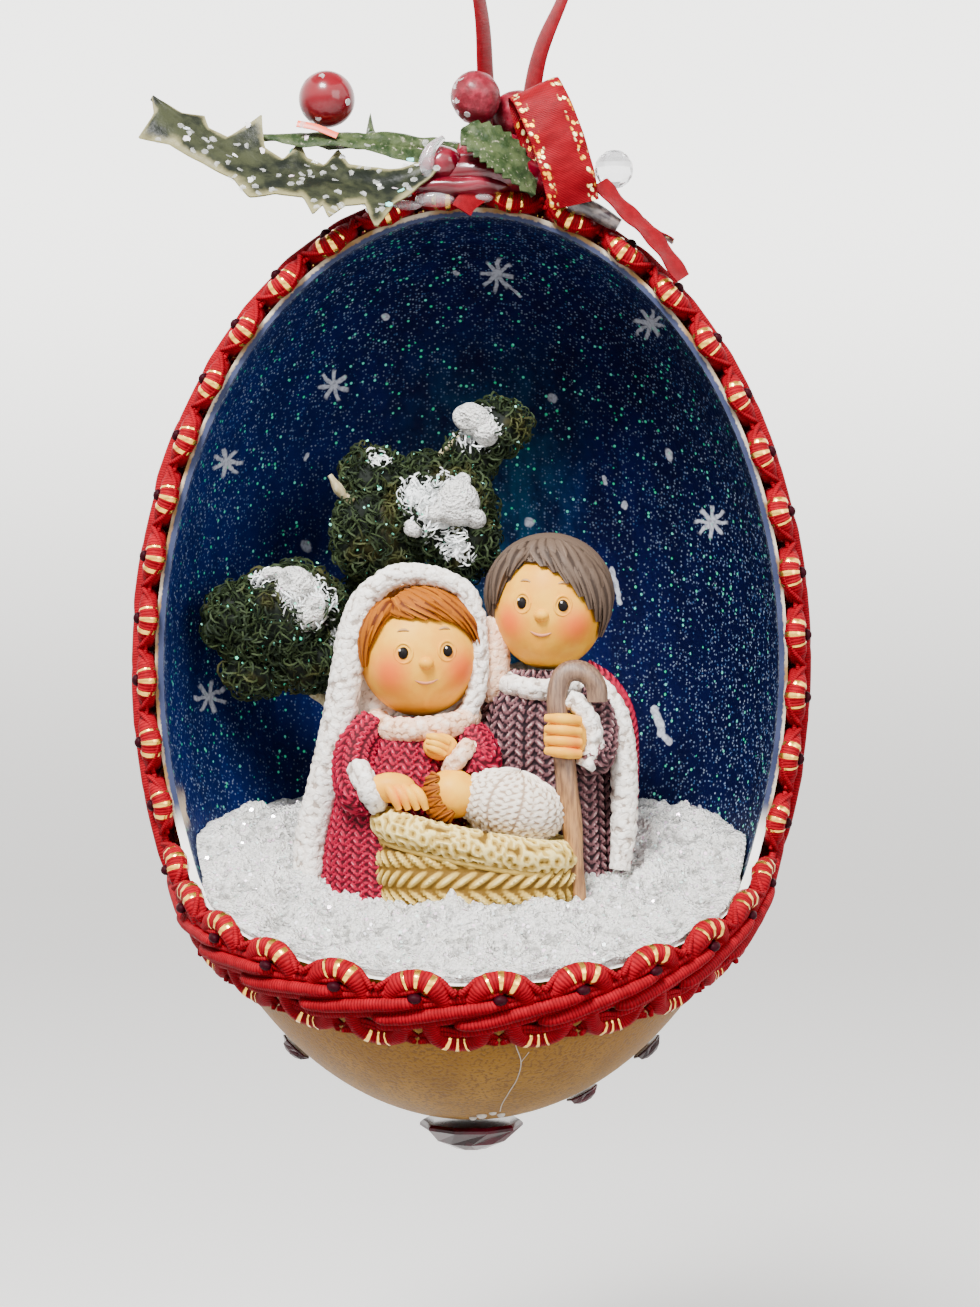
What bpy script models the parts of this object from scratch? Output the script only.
"""Nativity ornament: a goose egg cut open at the front, with a small cast group in snow inside it.

All sizes are millimetres, measured from the centre of the egg's widest ring, with +Z up and the opening
facing -Y. They are turned into metres where a mesh is made. Every piece hangs from one empty, which puts the
inside top of the hanging loop on the world origin.
"""

import math

import bmesh
import bpy
from mathutils import Matrix, Vector, noise

# Driving dimensions
MM = 0.001
EGG_WIDTH = 60.0
EGG_TOP = 43.3
EGG_BOTTOM = 42.9
SHELL_WALL = 0.8
FIT_GAP = 0.35

WINDOW_Y = -0.5
LIP_FRONT_Z = -27.0
LIP_SLOPE = 0.38
WINDOW_CORNER = 6.0

BRAID_WIDTH = 8.4
BRAID_THICKNESS = 2.0
BRAID_LOOPS = 38
BRAID_SCALLOP = 1.0

SNOW_BACK_RISE = 4.6
SNOW_LUMPS = 0.7

GROUP_BASE_Z = -22.8
CORD_DROP = 95.0
CORD_X = 3.0
RIBBON_WIDTH = 3.0
RIBBON_THICKNESS = 0.4
BOW_WIDTH = 4.9
BERRY_RADIUS = 2.3
BIG_BERRY_RADIUS = 2.65
LEAF_THICKNESS = 0.5
ROLLED_LEAF_Z = 50.3
BOTTOM_GEM_WIDTH = 9.8
BOTTOM_GEM_DEPTH = 2.6
SIDE_GEM_WIDTH = 3.4
SIDE_GEM_DEPTH = 1.3
GEM_RING_Z = -36.0
LOW_GEM_RING_Z = -40.3

# Places worked out from the driving dimensions
EGG_RADIUS = EGG_WIDTH / 2
LIP_FRONT_Y = -22.0
CLEAR_OF_EGG = 15.0
LEFT_CLUMP_X = EGG_RADIUS - 11.1
HOOK = Vector((CORD_X, 0.0, CORD_DROP))

for old in list(bpy.data.objects):
    bpy.data.objects.remove(old, do_unlink=True)

parts = bpy.data.collections.new("nativity_ornament")
cutters = bpy.data.collections.new("cutters")
for group in (parts, cutters):
    bpy.context.scene.collection.children.link(group)

centre = bpy.data.objects.new("egg_centre", None)
centre.location = -HOOK * MM
parts.objects.link(centre)


def material(name, colour, roughness, metallic=0.0):
    """A plain finish in the part's own colour."""
    made = bpy.data.materials.new(name)
    made.use_nodes = True
    shader = made.node_tree.nodes["Principled BSDF"]
    shader.inputs["Base Color"].default_value = (*colour, 1.0)
    shader.inputs["Roughness"].default_value = roughness
    shader.inputs["Metallic"].default_value = metallic
    return made


GOLD = material("gold_paint", (0.70, 0.58, 0.36), 0.4, 0.5)
BRAID = material("red_braid", (0.80, 0.02, 0.03), 0.5)
SNOW = material("snow_paste", (0.90, 0.90, 0.92), 0.8)
RESIN = material("painted_resin", (0.75, 0.45, 0.35), 0.6)
TWIG = material("twig", (0.45, 0.42, 0.25), 0.8)
FOLIAGE = material("dark_foliage", (0.02, 0.07, 0.03), 0.9)
LEAF = material("leaf_green", (0.22, 0.27, 0.16), 0.35)
BERRY = material("berry_red", (0.60, 0.02, 0.05), 0.3)
SATIN = material("red_satin", (0.75, 0.01, 0.02), 0.35)
CLEAR = material("clear_glass", (0.92, 0.90, 0.90), 0.1)
GLUE = material("hot_glue", (0.60, 0.25, 0.30), 0.3)
GEM = material("dark_red_gem", (0.12, 0.0, 0.01), 0.1)


def add_object(name, mesh, finish, collection=None):
    """The mesh as a named object under the egg's centre, shaded smooth up to 35 degrees."""
    mesh.materials.clear()
    mesh.materials.append(finish)
    mesh.shade_smooth()
    mesh.set_sharp_from_angle(angle=math.radians(35))
    made = bpy.data.objects.new(name, mesh)
    made.parent = centre
    (collection or parts).objects.link(made)
    return made


def add_cutter(name, mesh):
    """A helper that only cuts."""
    made = add_object(name, mesh, GLUE, cutters)
    made.hide_render = True
    made.display_type = "WIRE"
    return made


def mesh_from(shape, name):
    """A bmesh in millimetres as a mesh in metres."""
    bmesh.ops.scale(shape, vec=(MM, MM, MM), verts=shape.verts)
    mesh = bpy.data.meshes.new(name)
    shape.to_mesh(mesh)
    shape.free()
    return mesh


def settle(target):
    """Makes the object's modifiers part of its mesh."""
    graph = bpy.context.evaluated_depsgraph_get()
    mesh = bpy.data.meshes.new_from_object(target.evaluated_get(graph))
    target.modifiers.clear()
    target.data = mesh
    return target


def boolean(target, other, operation, solver="EXACT"):
    """Cuts the target by a closed object, or joins that object to it."""
    cut = target.modifiers.new(other.name, "BOOLEAN")
    cut.operation = operation
    cut.solver = solver
    cut.object = other
    settle(target)


def swollen(source, gap):
    """A cutter of the source's shape, larger all round by the gap."""
    mesh = source.data.copy()
    normals = [corner.vector.copy() for corner in mesh.vertex_normals]
    for vertex, normal in zip(mesh.vertices, normals):
        vertex.co += normal * gap * MM
    return add_cutter(source.name + "_room", mesh)


def smooth_path(points, count):
    """Points evenly spread along a smooth curve through the given ones."""
    knots = [Vector(point) for point in points]
    knots = [2 * knots[0] - knots[1]] + knots + [2 * knots[-1] - knots[-2]]
    dense = []
    for a, b, c, d in zip(knots, knots[1:], knots[2:], knots[3:]):
        for step in range(20):
            t = step / 20
            bend = (2 * a - 5 * b + 4 * c - d) * t**2 + (3 * b - a - 3 * c + d) * t**3
            dense.append(0.5 * (2 * b + (c - a) * t + bend))
    dense.append(knots[-2])
    reach = [0.0]
    for a, b in zip(dense, dense[1:]):
        reach.append(reach[-1] + (b - a).length)
    found = []
    at = 0
    for index in range(count):
        wanted = reach[-1] * index / (count - 1)
        while at < len(reach) - 2 and reach[at + 1] < wanted:
            at += 1
        share = (wanted - reach[at]) / max(reach[at + 1] - reach[at], 1e-9)
        found.append(dense[at].lerp(dense[at + 1], share))
    return found


def loft(rings, closed=False):
    """A closed surface through rings of equal length, capped at both ends unless it closes on itself."""
    shape = bmesh.new()
    rows = [[shape.verts.new(point) for point in ring] for ring in rings]
    pairs = list(zip(rows, rows[1:])) + ([(rows[-1], rows[0])] if closed else [])
    for low, high in pairs:
        for i in range(len(low)):
            j = (i + 1) % len(low)
            shape.faces.new((low[i], low[j], high[j], high[i]))
    if not closed:
        shape.faces.new(rows[0][::-1])
        shape.faces.new(rows[-1])
    bmesh.ops.recalc_face_normals(shape, faces=shape.faces)
    return shape


def ball(place, radii, segments=16, rings=8, turn=None):
    """A stretched sphere, with its poles up unless it is turned."""
    shape = bmesh.new()
    bmesh.ops.create_uvsphere(shape, u_segments=segments, v_segments=rings, radius=1.0)
    matrix = Matrix.Translation(place) @ (turn or Matrix()) @ Matrix.Diagonal((*radii, 1.0))
    bmesh.ops.transform(shape, matrix=matrix, verts=shape.verts)
    return shape


def tube(points, radii, sides=8, count=12):
    """A round tube along a smooth curve, whose radius runs evenly through the given radii."""
    path = smooth_path(points, count)
    rings = []
    side = Vector((0.3, 1.0, 0.2))
    for index, place in enumerate(path):
        ahead = (path[min(index + 1, count - 1)] - path[max(index - 1, 0)]).normalized()
        side = (side - ahead * side.dot(ahead)).normalized()
        other = ahead.cross(side)
        share = index / (count - 1) * (len(radii) - 1)
        low = min(int(share), len(radii) - 2)
        radius = radii[low] + (radii[low + 1] - radii[low]) * (share - low)
        ring = []
        for step in range(sides):
            angle = 2 * math.pi * step / sides
            ring.append(place + radius * (side * math.cos(angle) + other * math.sin(angle)))
        rings.append(ring)
    return loft(rings)


def ring_tube(place, radii, thick, tilt, sides=6, count=20):
    """A closed round cord laid in an ellipse, tilted about X and then about Y."""
    turn = Matrix.Rotation(math.radians(tilt[1]), 4, "Y") @ Matrix.Rotation(math.radians(tilt[0]), 4, "X")
    rings = []
    for index in range(count):
        angle = 2 * math.pi * index / count
        out = Vector((math.cos(angle), math.sin(angle), 0.0))
        ring = []
        for step in range(sides):
            around = 2 * math.pi * step / sides
            spot = Vector((radii[0] * out.x, radii[1] * out.y, 0.0))
            spot += thick * (out * math.cos(around) + Vector((0.0, 0.0, math.sin(around))))
            ring.append(Vector(place) + turn @ spot)
        rings.append(ring)
    return loft(rings, closed=True)


def robe(rings, points=32, flutes=0, depth=0.0, grow=0.0):
    """A gown: ellipses (z, x, y, half width, half depth) from the hem up, with upright ribs all round."""
    rows = []
    for z, x, y, wide, deep in rings:
        row = []
        for index in range(points):
            angle = 2 * math.pi * index / points
            out = 1.0 + depth * math.cos(flutes * angle)
            across, along = wide * out + grow, deep * out + grow
            row.append((x + across * math.cos(angle), y + along * math.sin(angle), z))
        rows.append(row)
    return loft(rows)


def egg_ball(inset, segments=30, rings=14):
    """The egg as a solid, this far inside its outer surface."""
    shape = ball((0, 0, 0), (1, 1, 1), segments, rings)
    for vertex in shape.verts:
        half = (EGG_TOP if vertex.co.z > 0 else EGG_BOTTOM) - inset
        vertex.co.x *= EGG_RADIUS - inset
        vertex.co.y *= EGG_RADIUS - inset
        vertex.co.z *= half
    return shape


def on_egg(point, lift=0.0):
    """The point moved straight out from the egg's centre onto its surface, then lifted square to it."""
    half = EGG_TOP if point.z > 0 else EGG_BOTTOM
    size = math.sqrt((point.x**2 + point.y**2) / EGG_RADIUS**2 + (point.z / half) ** 2)
    spot = point / size
    out = Vector((spot.x / EGG_RADIUS**2, spot.y / EGG_RADIUS**2, spot.z / half**2)).normalized()
    return spot + out * lift, out


def lip_height(y):
    """Height of the opening's lower edge at this depth."""
    return LIP_FRONT_Z + LIP_SLOPE * (y - LIP_FRONT_Y)


def window_outline():
    """The opening's edge seen from the side, from the crown down to the front, as (y, z) pairs."""
    slope = math.atan(LIP_SLOPE)
    corner_y = WINDOW_Y - WINDOW_CORNER
    turn = math.pi / 2 - slope
    corner_z = lip_height(WINDOW_Y) + WINDOW_CORNER * math.tan(turn / 2)
    points = [(WINDOW_Y, EGG_TOP + CLEAR_OF_EGG), (WINDOW_Y, corner_z)]
    for step in range(1, 7):
        angle = turn * step / 6
        in_y, in_z = WINDOW_CORNER * math.cos(angle), WINDOW_CORNER * math.sin(angle)
        points.append((corner_y + in_y, corner_z - in_z))
    points.append((-EGG_RADIUS - CLEAR_OF_EGG, lip_height(-EGG_RADIUS - CLEAR_OF_EGG)))
    return points


def make_eggshell():
    """A blown goose egg with its front cut away."""
    shell = add_object("eggshell", mesh_from(egg_ball(0.0), "eggshell"), GOLD)
    inside = add_cutter("shell_inside", mesh_from(egg_ball(SHELL_WALL), "shell_inside"))
    outline = window_outline() + [(-EGG_RADIUS - CLEAR_OF_EGG, EGG_TOP + CLEAR_OF_EGG)]
    reach = EGG_RADIUS + CLEAR_OF_EGG
    rings = [[(x, y, z) for y, z in outline] for x in (-reach, reach)]
    window = add_cutter("window", mesh_from(loft(rings), "window"))
    boolean(shell, inside, "DIFFERENCE")
    boolean(shell, window, "DIFFERENCE")
    return window


def window_edge():
    """The opening's edge on the egg's outer surface, as one closed curve of evenly spaced points."""
    flat = []
    outline = window_outline()
    for (y0, z0), (y1, z1) in zip(outline, outline[1:]):
        for step in range(200):
            share = step / 200
            flat.append((y0 + (y1 - y0) * share, z0 + (z1 - z0) * share))
    half = []
    for y, z in flat:
        tall = EGG_TOP if z > 0 else EGG_BOTTOM
        room = EGG_RADIUS**2 * (1 - (z / tall) ** 2) - y**2 if abs(z) < tall else -1.0
        if room > 0:
            half.append(Vector((math.sqrt(room), y, z)))
    other = [Vector((-spot.x, spot.y, spot.z)) for spot in reversed(half)]
    around = half + other
    around.append(around[0])
    return smooth_path_even(around, BRAID_LOOPS * 4)


def smooth_path_even(points, count):
    """Evenly spaced points on a closed run of short straight steps."""
    reach = [0.0]
    for a, b in zip(points, points[1:]):
        reach.append(reach[-1] + (b - a).length)
    found = []
    at = 0
    for index in range(count):
        wanted = reach[-1] * index / count
        while reach[at + 1] < wanted:
            at += 1
        share = (wanted - reach[at]) / max(reach[at + 1] - reach[at], 1e-9)
        found.append(points[at].lerp(points[at + 1], share))
    return found


def make_braid():
    """The red braid glued on the shell along the opening, scalloped on both edges."""
    edge = window_edge()
    count = len(edge)
    rings = []
    for index, place in enumerate(edge):
        ahead = (edge[(index + 1) % count] - edge[index - 1]).normalized()
        phase = 2 * math.pi * BRAID_LOOPS * index / count
        inner = BRAID_SCALLOP * (0.5 - 0.5 * math.cos(phase))
        outer = BRAID_WIDTH - BRAID_SCALLOP * (0.5 + 0.5 * math.cos(phase))
        middle = BRAID_WIDTH / 2
        section = (
            (inner, 0.0),
            (middle, 0.0),
            (outer, 0.0),
            (outer - 0.5, 0.7),
            (middle, 1.0),
            (inner + 0.5, 0.7),
        )
        ring = []
        for across, height in section:
            spot, out = on_egg(place)
            for step in range(4):
                side = out.cross(ahead)
                spot, out = on_egg(spot + side * across / 4)
            ring.append(spot + out * (FIT_GAP + height * BRAID_THICKNESS))
        rings.append(ring)
    add_object("braid_trim", mesh_from(loft(rings, closed=True), "braid_trim"), BRAID)


def snow_height(x, y):
    """Top of the snow: it follows the lip in front, rises to the back and is lumpy."""
    slope = lip_height(min(y, 0.0)) - 0.6
    rise = SNOW_BACK_RISE * (1 - math.exp(-max(y, 0.0) / 7.0))
    lumps = SNOW_LUMPS * noise.noise(Vector((x, y, 0.0)) / 4.5)
    return slope + rise + lumps


def make_snow(pockets):
    """The bed of white paste that fills the foot of the egg, with room where the group stands."""
    shape = bmesh.new()
    cells = 13
    bmesh.ops.create_grid(shape, x_segments=cells, y_segments=cells, size=EGG_RADIUS)
    for vertex in shape.verts:
        vertex.co.z = snow_height(vertex.co.x, vertex.co.y)
    top = list(shape.faces)
    grown = bmesh.ops.extrude_face_region(shape, geom=top)
    for item in grown["geom"]:
        if isinstance(item, bmesh.types.BMVert):
            item.co.z = -EGG_BOTTOM - CLEAR_OF_EGG
    bmesh.ops.recalc_face_normals(shape, faces=shape.faces)
    snow = add_object("snow_bed", mesh_from(shape, "snow_bed"), SNOW)
    hollow = egg_ball(SHELL_WALL + FIT_GAP + 0.2, 24, 12)
    boolean(snow, add_cutter("egg_hollow", mesh_from(hollow, "egg_hollow")), "INTERSECT", "MANIFOLD")
    for pocket in pockets:
        boolean(snow, pocket, "DIFFERENCE", "MANIFOLD")
    return snow


# Heights, places, half widths and half depths of the group's gowns, from the hem up
MAN_GOWN = (
    (GROUP_BASE_Z, 7.3, 0.6, 6.9, 5.6),
    (-17.0, 7.2, 0.6, 6.6, 5.3),
    (-9.0, 7.0, 0.6, 6.5, 5.0),
    (-5.0, 7.0, 0.6, 6.1, 4.7),
    (-2.4, 7.2, 0.5, 4.9, 4.2),
    (-0.6, 7.3, 0.4, 3.2, 3.2),
)
MAN_CLOAK = (
    (GROUP_BASE_Z, 7.9, 2.2, 7.7, 5.6),
    (-17.0, 7.9, 2.2, 7.5, 5.4),
    (-9.0, 7.8, 2.1, 7.3, 5.0),
    (-4.6, 7.7, 1.9, 6.3, 4.5),
    (-1.6, 7.6, 1.6, 4.4, 3.6),
)
WOMAN_GOWN = (
    (GROUP_BASE_Z, -6.9, -1.6, 7.1, 5.6),
    (-17.5, -6.9, -1.6, 6.9, 5.4),
    (-12.0, -6.3, -1.6, 6.3, 5.1),
    (-8.0, -5.4, -1.5, 5.3, 4.5),
    (-4.8, -4.8, -1.3, 3.8, 3.6),
)
WOMAN_VEIL = (
    (GROUP_BASE_Z, -8.0, 1.1, 8.9, 5.4),
    (-17.0, -7.9, 1.1, 8.6, 5.3),
    (-10.0, -6.9, 1.0, 8.0, 5.2),
    (-4.0, -5.9, 0.9, 7.4, 5.4),
    (1.0, -5.4, 0.8, 7.0, 5.6),
    (5.0, -5.2, 0.7, 6.1, 5.1),
    (8.0, -5.0, 0.5, 4.2, 3.6),
    (9.6, -4.9, 0.3, 1.6, 1.4),
)
BASKET = (
    (GROUP_BASE_Z, 0.7, -6.6, 7.4, 3.4),
    (-21.0, 0.7, -6.6, 8.7, 3.9),
    (-18.4, 0.5, -6.5, 9.0, 4.1),
    (-16.2, 0.3, -6.4, 8.4, 3.9),
)


# The crook's foot, as a room of its own in the snow
CROOK_FOOT = (
    (GROUP_BASE_Z, 10.2, -7.2, 1.0, 1.0),
    (-21.0, 10.1, -7.2, 1.0, 1.0),
    (-18.0, 9.8, -7.2, 1.0, 1.0),
)


def group_pockets():
    """Cutters that leave the group's feet their place in the snow, each a little deeper than the last."""
    found = []
    for index, rings in enumerate((MAN_GOWN, MAN_CLOAK, WOMAN_GOWN, WOMAN_VEIL, BASKET, CROOK_FOOT), 1):
        z, x, y, wide, deep = rings[0]
        rows = ((z - FIT_GAP * (0.9 + index / 10), x, y, wide, deep),) + rings[1:3]
        name = f"foot_room_{index}"
        found.append(add_cutter(name, mesh_from(robe(rows, 14, grow=FIT_GAP + 0.4), name)))
    return found


def hair_locks(place, radii, starts, ends, thick):
    """Locks combed over a head from points on the parting to points round the face, given in degrees."""
    found = []
    for (turn0, rise0), (turn1, rise1) in zip(starts, ends):
        path = []
        for step in range(4):
            share = step / 3
            turn = math.radians(turn0 + (turn1 - turn0) * share)
            rise = math.radians(rise0 + (rise1 - rise0) * share)
            out = Vector((math.sin(turn) * math.cos(rise), -math.cos(turn) * math.cos(rise), math.sin(rise)))
            path.append(Vector(place) + Vector((out.x * radii[0], out.y * radii[1], out.z * radii[2])))
        found.append(tube(path, (thick * 0.7, thick, thick * 0.5), 7, 7))
    return found


def man_shapes():
    """The standing man with his cloak, hair, sleeve, hand and crook."""
    sleeve = [(11.8, -0.6, -4.2), (13.3, -3.4, -8.2), (12.9, -5.6, -10.6), (11.0, -6.6, -9.2)]
    head = (7.4, -0.9, 5.5)
    hair = (7.4, 0.3, 6.5)
    shapes = [
        robe(MAN_GOWN, 44, 11, 0.03),
        robe(MAN_CLOAK, 36, 7, 0.02),
        ball(head, (5.4, 5.2, 6.1), 20, 14),
        ball(hair, (6.2, 5.9, 6.0), 20, 14),
        ball((7.4, -6.2, 4.6), (0.75, 0.7, 0.6), 10, 6),
        ring_tube((7.0, -0.4, -1.7), (4.1, 3.7), 1.05, (14, 0)),
        tube(sleeve, (1.9, 2.2, 2.2, 1.9)),
        ring_tube((11.0, -6.7, -8.8), (1.1, 1.5), 0.95, (0, -62), 6, 14),
        ball((8.9, -7.0, -7.3), (1.7, 1.4, 1.8), 12, 8),
    ]
    for finger in range(3):
        shapes.append(ball((8.2, -8.0, -6.4 - 0.95 * finger), (0.95, 0.6, 0.52), 8, 6))
    starts = [(turn, 62) for turn in (-60, -35, -10, 20, 50)]
    ends = [(-84, -6), (-52, 30), (-18, 42), (28, 38), (84, 4)]
    shapes += hair_locks(hair, (5.9, 5.7, 5.8), starts, ends, 1.2)
    crook = [(12.5, -6.4, -3.4), (11.8, -6.9, -1.2), (9.8, -7.0, -0.1), (8.1, -7.0, -1.7)]
    crook += [(7.9, -7.1, -4.4), (8.3, -7.2, -8.0), (9.0, -7.2, -13.0), (10.2, -7.2, GROUP_BASE_Z + 0.1)]
    shapes.append(tube(crook, (0.95, 0.95, 0.85, 0.8), 8, 28))
    return shapes


def woman_shapes():
    """The woman in her hooded veil, with a hand on the basket and a hand at her chest."""
    low_sleeve = [(-10.2, -2.4, -8.0), (-12.4, -4.2, -12.2), (-11.8, -6.2, -13.6), (-9.9, -7.2, -12.4)]
    high_sleeve = [(0.2, -2.0, -8.6), (1.4, -4.0, -11.0), (0.9, -5.6, -10.6), (-0.6, -6.2, -9.2)]
    head = (-4.9, -1.5, 1.4)
    hair = (-4.9, -0.9, 2.3)
    shapes = [
        robe(WOMAN_GOWN, 44, 11, 0.03),
        robe(WOMAN_VEIL, 36, 9, 0.015),
        ball(head, (5.4, 5.2, 5.7), 20, 14),
        ball(hair, (5.6, 5.0, 5.3), 20, 14),
        ball((-4.6, -6.8, 0.4), (0.7, 0.7, 0.55), 10, 6),
        ring_tube((-5.0, -0.2, 1.7), (6.0, 6.6), 1.05, (90, 4), 6, 24),
        ring_tube((-4.3, -1.7, -5.4), (4.0, 3.6), 1.1, (12, 0)),
        tube(low_sleeve, (1.9, 2.2, 2.2, 1.8)),
        ring_tube((-9.6, -7.3, -12.0), (1.0, 1.4), 0.95, (0, 50), 6, 14),
        ball((-7.6, -8.0, -12.4), (2.0, 1.3, 1.3), 12, 8),
        tube(high_sleeve, (1.8, 2.0, 1.9, 1.6)),
        ring_tube((-0.8, -6.2, -8.9), (1.0, 1.3), 0.85, (0, -50), 6, 14),
        ball((-2.4, -6.6, -7.6), (1.7, 1.2, 1.2), 12, 8),
    ]
    for finger in range(4):
        shapes.append(ball((-6.6 + 0.55 * finger, -8.6, -13.4 + 0.1 * finger), (0.45, 0.7, 0.85), 8, 6))
    starts = [(40, 62), (48, 52), (30, 66), (10, 68), (-20, 66)]
    ends = [(-30, 34), (46, 18), (-58, 20), (-74, 0), (-84, -22)]
    shapes += hair_locks(hair, (5.3, 4.9, 5.2), starts, ends, 0.95)
    return shapes


def child_shapes():
    """The basket and the wrapped child in it."""
    tilt = Matrix.Rotation(math.radians(14), 4, "Y")
    head = (-1.7, -7.4, -12.2)
    shapes = [
        robe(BASKET, 36, 12, 0.02),
        ring_tube((0.5, -6.4, -16.4), (8.2, 3.7), 1.15, (6, 9), 6, 26),
        ball(head, (2.6, 2.2, 2.3), 14, 10),
        ball((3.4, -6.9, -13.4), (5.2, 2.9, 2.7), 16, 10, tilt),
    ]
    starts = [(-20, 80), (-60, 70), (40, 70)]
    ends = [(-10, 0), (-70, 0), (50, 20)]
    shapes += hair_locks(head, (2.4, 2.0, 2.2), starts, ends, 0.7)
    return shapes


def make_group():
    """The cast group as one solid: its shapes melted together and then thinned out."""
    whole = bmesh.new()
    for shape in man_shapes() + woman_shapes() + child_shapes():
        mesh = bpy.data.meshes.new("shape")
        shape.to_mesh(mesh)
        shape.free()
        whole.from_mesh(mesh)
        bpy.data.meshes.remove(mesh)
    group = add_object("figurine", mesh_from(whole, "figurine"), RESIN)
    melt = group.modifiers.new("melt", "REMESH")
    melt.mode = "VOXEL"
    melt.voxel_size = 0.36 * MM
    settle(group)
    thin = group.modifiers.new("thin", "DECIMATE")
    thin.ratio = 2500 / (2 * len(group.data.polygons))
    settle(group)
    return group


def leaf_mesh(name, midline, half_width, spines, lean, curl, stations=21):
    """A stiff curled leaf with pointed lobes, as a sheet of leaf thickness."""
    path = smooth_path(midline, stations)
    rings = []
    for index, place in enumerate(path):
        share = index / (stations - 1)
        ahead = (path[min(index + 1, stations - 1)] - path[max(index - 1, 0)]).normalized()
        turn = math.radians(lean[0] + (lean[1] - lean[0]) * share)
        across = Vector((0.0, -math.cos(turn), -math.sin(turn)))
        across = (across - ahead * across.dot(ahead)).normalized()
        up = across.cross(ahead)
        if up.z < 0:
            up = -up
        swell = math.sin(math.pi * (0.06 + 0.9 * share)) ** 0.6
        point = abs(math.cos(math.pi * spines * share)) ** 2.2
        wide = half_width * swell * (0.55 + 0.45 * point)
        lift = curl * wide * (0.4 + 0.6 * point)
        thick = up * LEAF_THICKNESS / 2
        rim = LEAF_THICKNESS * 0.3
        left, right = place - across * wide + up * lift, place + across * wide + up * lift
        over = [left + up * rim, place + thick, right + up * rim]
        under = [right - up * rim, place - thick, left - up * rim]
        rings.append(over + under)
    return mesh_from(loft(rings), name)


def strap_mesh(name, points, width, thickness, sideways, stations=24):
    """A flat ribbon along a smooth curve. sideways gives its width's direction at a share of its length."""
    path = smooth_path(points, stations)
    rings = []
    for index, place in enumerate(path):
        ahead = (path[min(index + 1, stations - 1)] - path[max(index - 1, 0)]).normalized()
        side = Vector(sideways(index / (stations - 1)))
        side = (side - ahead * side.dot(ahead)).normalized() * width / 2
        out = ahead.cross(side).normalized() * thickness / 2
        rings.append([place + side + out, place - side + out, place - side - out, place + side - out])
    return mesh_from(loft(rings), name)


# The hanging ribbon's route, from the glue on the crown up round the hook and back
RIBBON_ROUTE = (
    (1.5, 2.6, 49.6),
    (1.5, 2.4, 53.0),
    (1.4, 1.6, 57.0),
    (1.0, 0.8, 62.5),
    (-0.6, 0.3, 70.0),
    (-2.9, 0.1, 78.0),
    (-3.6, 0.0, 85.0),
    (-1.2, 0.0, 92.0),
    (3.0, 0.0, 95.2),
    (8.4, 0.0, 92.4),
    (12.4, 0.0, 85.0),
    (12.7, 0.1, 77.0),
    (11.0, 0.3, 69.0),
    (8.4, 0.8, 63.0),
    (6.4, 3.2, 58.5),
    (5.4, 5.4, 53.0),
    (5.2, 5.5, 49.6),
)


def ribbon_side(share):
    """The loop stands edge-on at the hook and turns a little towards the front as it comes down."""
    turn = math.radians(70 - 40 * math.sin(math.pi * share))
    lean = 1.0 if share < 0.5 else -1.0
    return (lean * math.sin(turn) * 0.7, math.cos(turn) + 0.6, 0.0)


def make_ribbons():
    """The hanging loop, and the bow's loop and two tails."""
    mesh = strap_mesh("hanging_ribbon", RIBBON_ROUTE, RIBBON_WIDTH, RIBBON_THICKNESS, ribbon_side, 28)
    add_object("hanging_ribbon", mesh, SATIN)
    bow = ((9.6, -3.9, 42.9), (9.1, -4.9, 45.3), (7.9, -5.2, 49.2), (6.6, -4.8, 52.4), (5.9, -3.4, 53.9))
    bow += ((5.9, -2.4, 53.3), (6.6, -1.8, 50.6), (7.8, -1.6, 48.0))
    slanted = lambda share: (0.916, 0.0, 0.4)
    mesh = strap_mesh("bow_loop", bow, BOW_WIDTH, RIBBON_THICKNESS, slanted, 18)
    add_object("bow_loop", mesh, SATIN)
    upper = ((9.6, 0.9, 48.3), (12.2, 0.9, 45.3), (15.8, 0.9, 42.6), (19.2, 0.9, 40.2))
    flat = lambda share: (0.1, 1.0, 0.1)
    mesh = strap_mesh("bow_tail_upper", upper, BOW_WIDTH * 0.8, RIBBON_THICKNESS, flat, 8)
    add_object("bow_tail_upper", mesh, SATIN)
    lower = ((12.0, -2.4, 45.2), (13.9, -2.5, 43.0), (17.2, -2.4, 39.8), (19.8, -2.2, 36.2))
    twisted = lambda share: (0.5, 0.7, 0.4)
    mesh = strap_mesh("bow_tail_lower", lower, BOW_WIDTH * 0.53, RIBBON_THICKNESS, twisted, 8)
    add_object("bow_tail_lower", mesh, SATIN)


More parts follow.
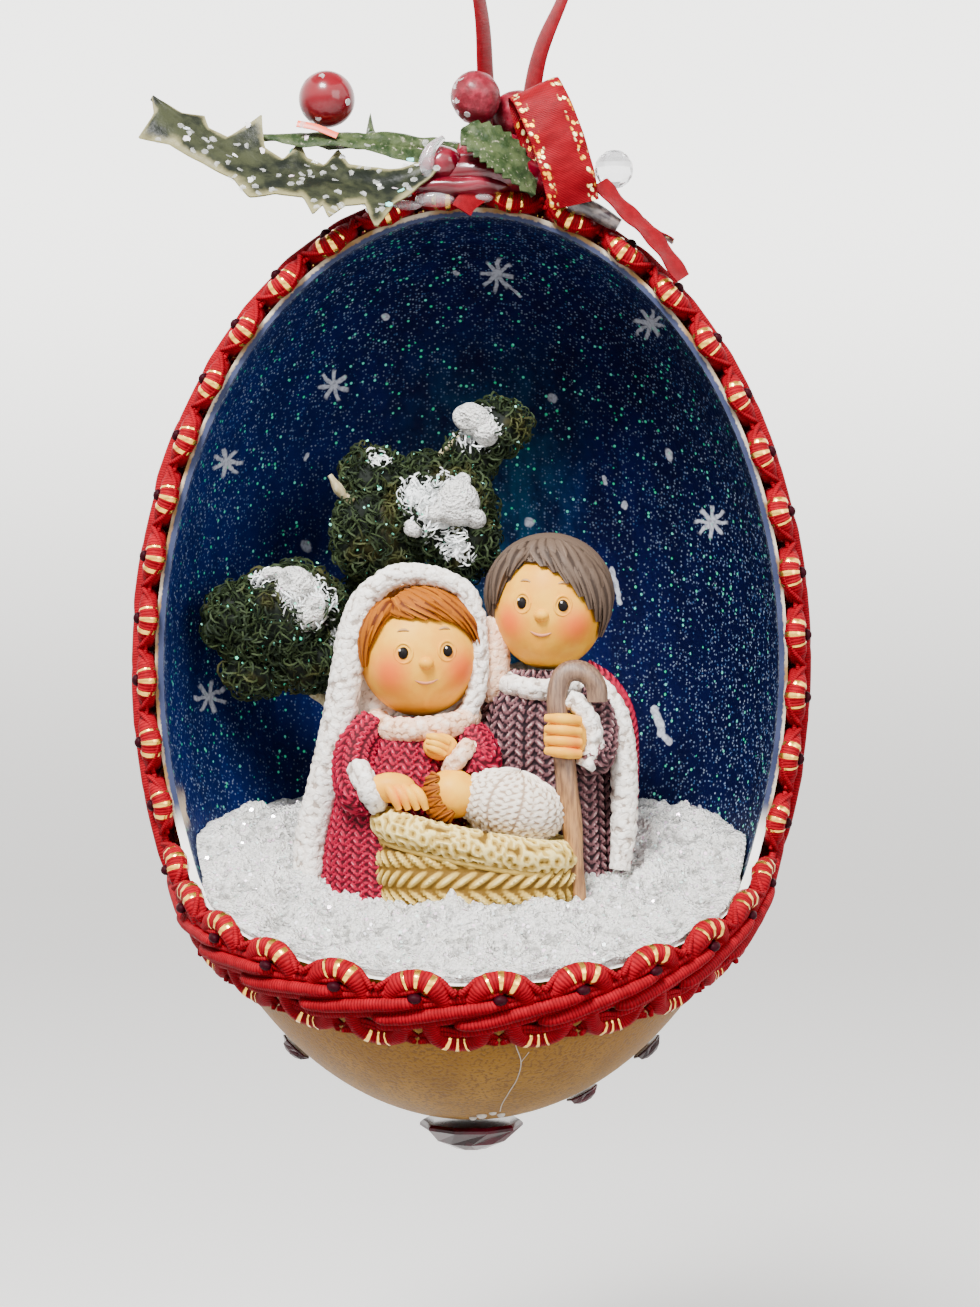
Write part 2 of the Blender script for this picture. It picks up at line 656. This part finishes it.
def make_sprig():
    """The plastic holly: three leaves, three berries, a stem end and the bead."""
    holly = ((-4.2, -2.6, 46.4), (-8.0, -3.0, 45.4), (-13.6, -3.3, 45.8), (-19.6, -3.2, 46.9))
    holly += ((-25.4, -2.6, 49.9), (-30.0, -2.2, 53.4))
    rolled = ((-1.2, 1.4, 49.8), (-7.0, 0.6, 50.2), (-13.4, -0.4, ROLLED_LEAF_Z), (-19.8, -1.0, 49.9))
    dull = ((-0.9, -3.2, 50.1), (1.8, -3.6, 48.6), (4.1, -3.6, 46.5), (5.9, -3.2, 43.9))
    made = [
        add_object("holly_leaf", leaf_mesh("holly_leaf", holly, 5.6, 4, (52, 25), -0.25), LEAF),
        add_object("rolled_leaf", leaf_mesh("rolled_leaf", rolled, 3.0, 3, (8, 4), -0.35, 16), LEAF),
        add_object("dull_leaf", leaf_mesh("dull_leaf", dull, 2.2, 3, (62, 62), -0.2, 15), LEAF),
    ]
    on_leaf = ROLLED_LEAF_Z + LEAF_THICKNESS / 2 + FIT_GAP + BIG_BERRY_RADIUS
    for name, place, radius in (
        ("berry_left", (-13.7, -0.5, on_leaf), BIG_BERRY_RADIUS),
        ("berry_middle", (0.4, -1.5, 53.5), BERRY_RADIUS),
        ("berry_right", (4.4, 1.1, 52.4), BERRY_RADIUS),
    ):
        made.append(add_object(name, mesh_from(ball(place, (radius,) * 3, 10, 7), name), BERRY))
    stub = tube([(9.4, -2.0, 43.6), (11.4, -2.1, 42.7), (13.9, -2.2, 41.3)], (0.95, 0.9, 0.55), 8, 5)
    add_object("stem_end", mesh_from(stub, "stem_end"), TWIG)
    add_object("clear_bead", mesh_from(ball((13.6, 1.0, 47.2), (1.8, 1.8, 1.8), 10, 6), "clear_bead"), CLEAR)
    return made


def make_glue(pieces):
    """The hot glue on the crown that carries the sprig, the bow and the ribbon."""
    mound = ball((2.2, 1.4, 46.9), (8.6, 4.6, 2.6), 14, 6)
    glue = add_object("glue_mound", mesh_from(mound, "glue_mound"), GLUE)
    for name, place, radii in (
        ("glue_rise", (2.4, 1.6, 49.0), (4.6, 3.4, 2.6)),
        ("glue_left", (-2.8, -0.6, 47.6), (2.4, 2.6, 2.0)),
        ("glue_right", (8.4, -0.4, 46.6), (2.9, 3.0, 2.0)),
    ):
        boolean(glue, add_cutter(name, mesh_from(ball(place, radii, 10, 5), name)), "UNION")
    crown = egg_ball(-(FIT_GAP + BRAID_THICKNESS + FIT_GAP + 0.3), 20, 14)
    boolean(glue, add_cutter("crown_room", mesh_from(crown, "crown_room")), "DIFFERENCE")
    for piece in pieces:
        boolean(glue, swollen(piece, FIT_GAP), "DIFFERENCE")
    return glue


def clump_mesh(name, place, radii, seed, roughness=0.55, grow=0.0, detail=2):
    """A lump of foam foliage or paste: a ball whose surface is pushed in and out."""
    shape = bmesh.new()
    bmesh.ops.create_icosphere(shape, subdivisions=detail, radius=1.0)
    for vertex in shape.verts:
        out = vertex.co.normalized()
        size = 1.0 + roughness * noise.noise(out * 1.7 + Vector((seed, 0.0, 0.0)))
        vertex.co = Vector(place) + Vector([out[i] * (radii[i] * size + grow) for i in range(3)])
    return mesh_from(shape, name)


# Foliage clumps: name, place, half sizes, seed
CLUMPS = (
    ("foliage_upper", (-5.6, 8.6, 15.6), (7.6, 4.6, 6.2), 3.0),
    ("foliage_crest", (2.4, 8.8, 23.2), (3.1, 2.7, 2.7), 9.0),
    ("foliage_left", (-LEFT_CLUMP_X, 6.4, 3.8), (6.9, 4.6, 6.3), 5.0),
    ("foliage_back", (-10.0, 11.6, 5.4), (3.2, 3.0, 4.0), 7.0),
)
# Snow dabs: name, place, half sizes, seed
DABS = (
    ("snow_dab_crest", (0.6, 6.6, 23.4), (2.4, 1.9, 2.0), 2.0),
    ("snow_dab_upper", (-2.0, 4.6, 15.4), (3.6, 1.9, 3.2), 4.0),
    ("snow_dab_left", (2.5 - LEFT_CLUMP_X, 3.0, 6.4), (2.8, 2.1, 3.2), 6.0),
)
# Twigs of the tree: name, route, radii
TRUNK = ((-9.6, 9.6, -19.0), (-9.4, 10.0, -8.0), (-8.3, 9.4, 3.0), (-6.6, 8.6, 14.0), (-4.0, 8.8, 20.0))
BRANCH_LEFT = ((-9.4, 9.9, -7.6), (-12.6, 8.6, -5.0), (-16.4, 7.2, -1.6), (-0.3 - LEFT_CLUMP_X, 6.4, 4.4))
BRANCH_BACK = ((-8.6, 9.6, 1.0), (-10.2, 10.8, 3.4), (-11.6, 11.4, 6.4))
BRANCH_TIP = ((-6.9, 8.7, 12.4), (-9.6, 7.8, 14.6), (-12.4, 6.6, 16.4), (-13.9, 6.2, 18.4))
BRANCH_CREST = ((-4.3, 8.7, 19.0), (-2.0, 8.9, 21.6), (1.4, 9.0, 23.4))
TWIGS = (
    ("trunk", TRUNK, (1.2, 0.9, 0.7, 0.5)),
    ("branch_left", BRANCH_LEFT, (0.7, 0.6, 0.45)),
    ("branch_back", BRANCH_BACK, (0.6, 0.5, 0.4)),
    ("branch_tip", BRANCH_TIP, (0.6, 0.5, 0.35)),
    ("branch_crest", BRANCH_CREST, (0.5, 0.45, 0.4)),
)


def twig_meshes(grow, suffix):
    """One mesh for each twig, thicker and longer at both ends by grow."""
    found = []
    for name, points, radii in TWIGS:
        route = [Vector(point) for point in points]
        route[0] += (route[0] - route[1]).normalized() * grow
        route[-1] += (route[-1] - route[-2]).normalized() * grow
        shape = tube(route, [radius + grow for radius in radii], 6, 2 * len(route))
        found.append(mesh_from(shape, name + suffix))
    return found


def make_tree():
    """A twig in the snow behind the group, with foam foliage and dabs of snow."""
    meshes = twig_meshes(0.0, "")
    tree = add_object("tree_branches", meshes[0], TWIG)
    for mesh in meshes[1:]:
        boolean(tree, add_cutter(mesh.name, mesh), "UNION")
    rooms = [add_cutter(mesh.name, mesh) for mesh in twig_meshes(FIT_GAP, "_room")]
    for name, place, radii, seed in CLUMPS:
        clump = add_object(name, clump_mesh(name, place, radii, seed), FOLIAGE)
        for room in rooms:
            boolean(clump, room, "DIFFERENCE")
    under = []
    for name, place, radii, seed in CLUMPS:
        mesh = clump_mesh(name + "_room", place, radii, seed, grow=FIT_GAP)
        under.append(add_cutter(name + "_room", mesh))
    for name, place, radii, seed in DABS:
        dab = add_object(name, clump_mesh(name, place, radii, seed, roughness=0.3, detail=1), SNOW)
        for room in under:
            boolean(dab, room, "DIFFERENCE")
    return rooms[0]


def gem_mesh(name, place, out, width, depth, sides, flat):
    """A flat-backed cut stone lying on the shell, its table facing out."""
    shape = bmesh.new()
    bmesh.ops.create_cone(
        shape, cap_ends=True, segments=sides, radius1=width / 2, radius2=width / 2 * flat, depth=depth
    )
    turn = out.to_track_quat("Z", "Y").to_matrix().to_4x4()
    matrix = Matrix.Translation(place + out * (FIT_GAP + depth / 2)) @ turn
    bmesh.ops.transform(shape, matrix=matrix, verts=shape.verts)
    return mesh_from(shape, name)


def make_gems():
    """The large stone under the egg and two rings of small ones round its sides and back."""
    foot = Vector((0.0, 0.0, -EGG_BOTTOM))
    down = Vector((0.0, 0.0, -1.0))
    mesh = gem_mesh("bottom_gem", foot, down, BOTTOM_GEM_WIDTH, BOTTOM_GEM_DEPTH, 12, 0.45)
    add_object("bottom_gem", mesh, GEM)
    for ring, height, angles in (
        ("side_gem", GEM_RING_Z, [30 * step for step in range(7)]),
        ("low_gem", LOW_GEM_RING_Z, [0, 60, 120]),
    ):
        radius = EGG_RADIUS * math.sqrt(1 - (height / EGG_BOTTOM) ** 2)
        for index, angle in enumerate(angles, 1):
            turn = math.radians(angle)
            place, out = on_egg(Vector((radius * math.cos(turn), radius * math.sin(turn), height)))
            name = f"{ring}_{index}"
            add_object(name, gem_mesh(name, place, out, SIDE_GEM_WIDTH, SIDE_GEM_DEPTH, 8, 0.5), GEM)


make_eggshell()
make_braid()
snow = make_snow(group_pockets())
make_group()
boolean(snow, make_tree(), "DIFFERENCE", "MANIFOLD")
make_ribbons()
sprig = make_sprig()
for name in ("bow_loop", "bow_tail_upper", "bow_tail_lower", "hanging_ribbon"):
    sprig.append(bpy.data.objects[name])
make_glue(sprig)
make_gems()
